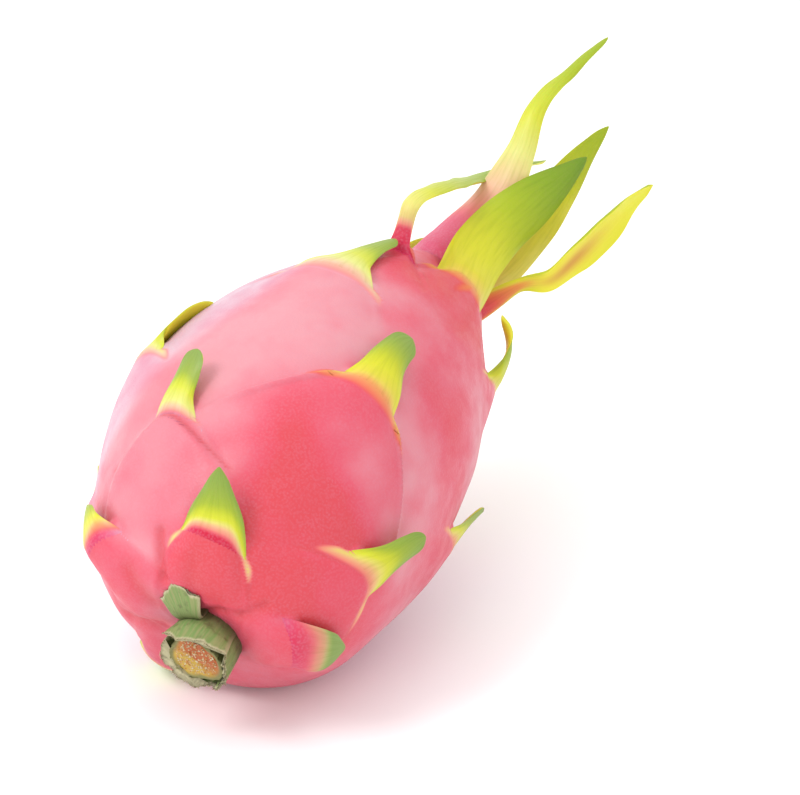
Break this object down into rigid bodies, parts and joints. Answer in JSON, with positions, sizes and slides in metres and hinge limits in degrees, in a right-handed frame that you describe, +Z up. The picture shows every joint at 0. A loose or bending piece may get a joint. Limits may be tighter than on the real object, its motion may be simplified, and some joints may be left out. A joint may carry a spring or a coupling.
{
  "type": "dragon fruit",
  "caption": "Whole pink dragon fruit with yellow-green scales, a leafy crown and a cut stem, lying on its side.",
  "frame": {"origin": "middle of the small flat spot on the underside that the fruit rests on", "axes": "+Z up, +X along the fruit from its stem end to its crown as seen from above, +Y to the left of that"},
  "size_m": [0.2072, 0.0984, 0.1161],
  "materials": {
    "skin": "satin, fine-grained pink skin",
    "green_scale": "satin, yellow-green fleshy scale",
    "cut_stem": "moist cut plant tissue",
    "dried_scale": "matt, dried and leathery"
  },
  "bodies": {
    "root": {"fruit_body": "skin", "side_scale_1": "green_scale", "side_scale_2": "green_scale", "side_scale_3": "green_scale", "side_scale_4": "green_scale", "side_scale_5": "green_scale", "side_scale_6": "green_scale", "side_scale_7": "green_scale", "side_scale_8": "green_scale", "side_scale_9": "green_scale", "side_scale_10": "green_scale", "side_scale_11": "green_scale", "side_scale_12": "green_scale", "side_scale_13": "green_scale", "side_scale_14": "green_scale", "side_scale_15": "green_scale", "side_scale_16": "green_scale", "side_scale_17": "green_scale", "crown_scale_1": "green_scale", "crown_scale_2": "green_scale", "crown_scale_3": "green_scale", "crown_scale_4": "green_scale", "crown_scale_5": "green_scale", "crown_scale_6": "green_scale", "crown_scale_7": "green_scale", "crown_scale_8": "green_scale", "stem_stub": "cut_stem", "stem_scale_1": "dried_scale", "stem_scale_2": "dried_scale", "stem_scale_3": "dried_scale", "stem_scale_4": "dried_scale", "stem_scale_5": "dried_scale"}
  },
  "joints": []
}
